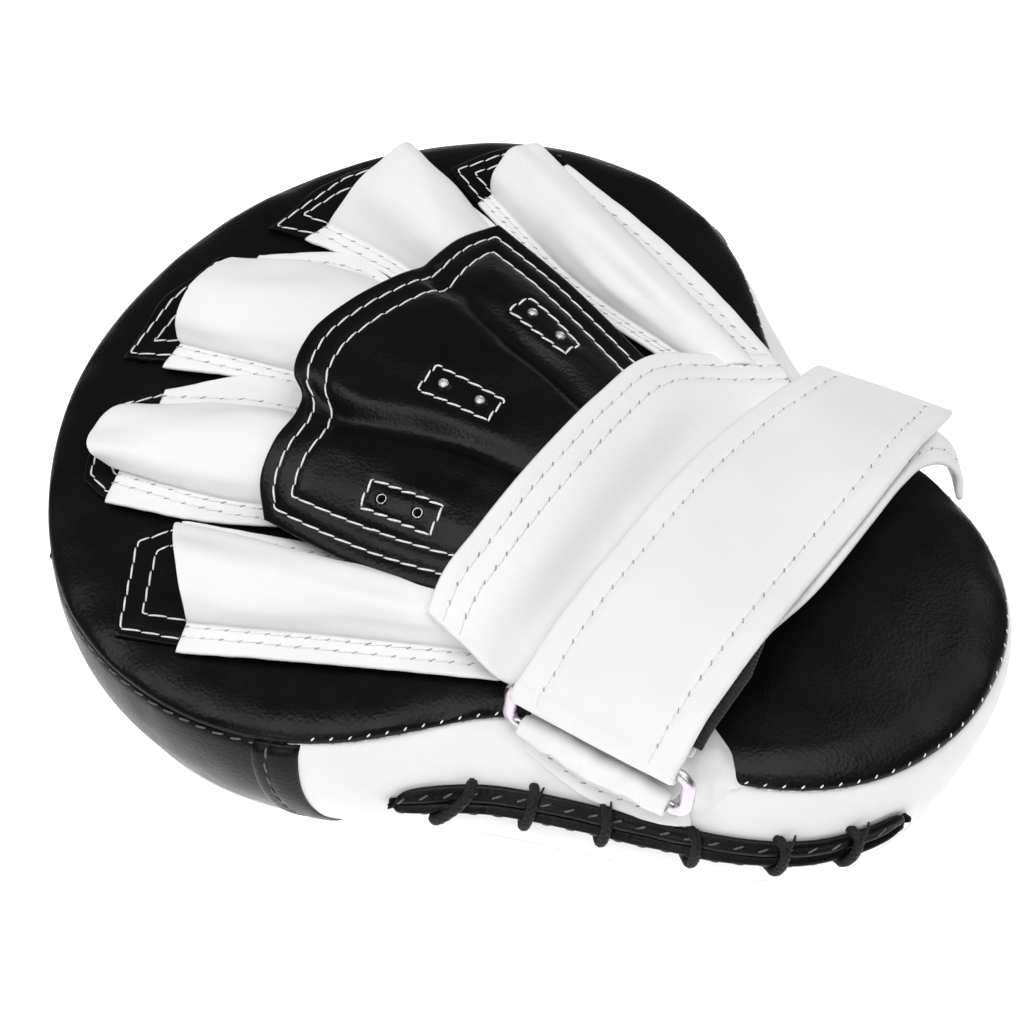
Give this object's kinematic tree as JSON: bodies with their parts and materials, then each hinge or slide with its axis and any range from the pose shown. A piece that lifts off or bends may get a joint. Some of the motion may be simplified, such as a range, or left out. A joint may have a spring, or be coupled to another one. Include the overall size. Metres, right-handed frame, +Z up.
{
  "type": "focus mitt",
  "caption": "Padded coaching mitt with finger stalls, a vented knuckle panel, a cuff, a hook and loop wrist strap through a metal ring, and a laced slit in the side wall.",
  "frame": {"origin": "centre of the strike face, on the face that the mitt rests on", "axes": "+Z up through the pad to the glove, +Y towards the finger end, -X the side with the strap ring and the laced slit"},
  "size_m": [0.2066, 0.2405, 0.0729],
  "materials": {
    "black_leather": "satin",
    "white_leather": "satin",
    "foam": "matte",
    "hook_and_loop": "matte",
    "black_cord": "matte",
    "nickel": "polished"
  },
  "bodies": {
    "root": {"back_panel": "black_leather", "cuff_band": "white_leather", "eyelet_1_front": "nickel", "eyelet_1_rear": "nickel", "eyelet_2_front": "nickel", "eyelet_2_rear": "nickel", "eyelet_3_front": "nickel", "eyelet_3_rear": "nickel", "foam_core_hard": "foam", "foam_core_soft": "foam", "gusset_fingers": "black_leather", "gusset_wrist": "white_leather", "knuckle_panel": "black_leather", "lace_tie_1": "black_cord", "lace_tie_2": "black_cord", "lace_tie_3": "black_cord", "lace_tie_4": "black_cord", "lace_tie_5": "black_cord", "lace_tie_6": "black_cord", "loop_tape": "hook_and_loop", "ring_keeper": "white_leather", "seam_binding_far": "black_leather", "seam_binding_near": "black_leather", "slit_lip_lower": "black_leather", "slit_lip_upper": "black_leather", "stall_base_far": "black_leather", "stall_base_index": "black_leather", "stall_base_middle": "black_leather", "stall_base_near": "black_leather", "stall_base_ring": "black_leather", "stall_far": "white_leather", "stall_index": "white_leather", "stall_middle": "white_leather", "stall_near": "white_leather", "stall_ring": "white_leather", "strap_lower": "white_leather", "strike_panel": "white_leather", "target_patch": "black_leather", "vent_backing_1": "black_leather", "vent_backing_2": "black_leather", "vent_backing_3": "black_leather"},
    "ring": {"ring": "nickel"},
    "flap": {"strap_flap": "white_leather", "hook_tape": "hook_and_loop"}
  },
  "joints": [
    {"name": "ring_swing", "type": "hinge", "parent": "root", "child": "ring", "pos_m": [-0.064, -0.0573, 0.0475], "axis": [0, -1, 0], "range_deg": [0, 25]},
    {"name": "flap_peel", "type": "hinge", "parent": "ring", "child": "flap", "pos_m": [-0.062, -0.0573, 0.058], "axis": [0, -1, 0], "range_deg": [0, 150]}
  ]
}
